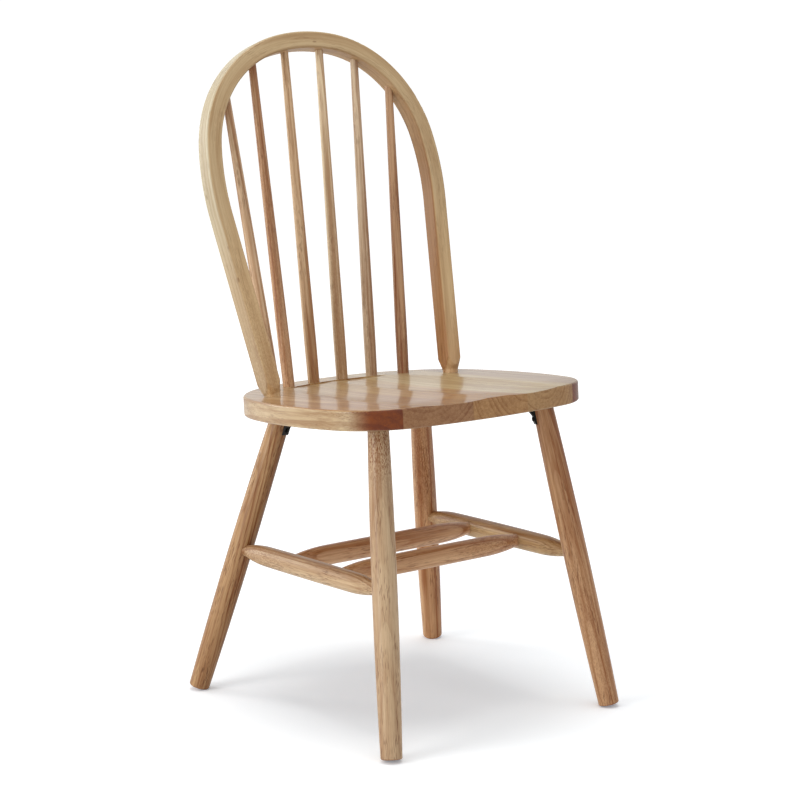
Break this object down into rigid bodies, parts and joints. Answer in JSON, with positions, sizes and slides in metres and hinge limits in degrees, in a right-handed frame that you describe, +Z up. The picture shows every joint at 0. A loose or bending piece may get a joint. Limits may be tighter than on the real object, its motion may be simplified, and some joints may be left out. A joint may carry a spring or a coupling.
{
  "type": "windsor chair",
  "caption": "Bow-back wooden dining chair: saddled solid seat, bent bow with turned spindles, splayed turned legs joined by side and cross stretchers.",
  "frame": {"origin": "on the floor, under the middle of the chair's overall box", "axes": "+Z up, the chair faces -Y, +X towards the sitter's left"},
  "size_m": [0.4625, 0.4938, 0.9388],
  "materials": {
    "seat_wood_1": "clear satin lacquer over pale hardwood",
    "seat_wood_2": "clear satin lacquer over pale hardwood",
    "seat_wood_3": "clear satin lacquer over pale hardwood",
    "seat_wood_4": "clear satin lacquer over pale hardwood",
    "seat_wood_5": "clear satin lacquer over pale hardwood",
    "bow_wood": "clear satin lacquer over pale hardwood",
    "spindle_wood": "clear satin lacquer over pale hardwood",
    "leg_wood": "clear satin lacquer over pale hardwood",
    "stretcher_wood": "clear satin lacquer over pale hardwood",
    "bracket_steel": "black powder coat",
    "screw_steel": "black oxide"
  },
  "bodies": {
    "root": {"seat_board_1": "seat_wood_1", "seat_board_2": "seat_wood_2", "seat_board_3": "seat_wood_3", "seat_board_4": "seat_wood_4", "seat_board_5": "seat_wood_5", "bow": "bow_wood", "spindle_1": "spindle_wood", "spindle_2": "spindle_wood", "spindle_3": "spindle_wood", "spindle_4": "spindle_wood", "spindle_5": "spindle_wood", "spindle_6": "spindle_wood", "leg_front_right": "leg_wood", "bracket_front_right": "bracket_steel", "leg_front_left": "leg_wood", "bracket_front_left": "bracket_steel", "cross_stretcher_front": "stretcher_wood", "leg_back_right": "leg_wood", "bracket_back_right": "bracket_steel", "leg_back_left": "leg_wood", "bracket_back_left": "bracket_steel", "cross_stretcher_back": "stretcher_wood", "side_stretcher_right": "stretcher_wood", "side_stretcher_left": "stretcher_wood", "bracket_screws": "screw_steel"}
  },
  "joints": []
}
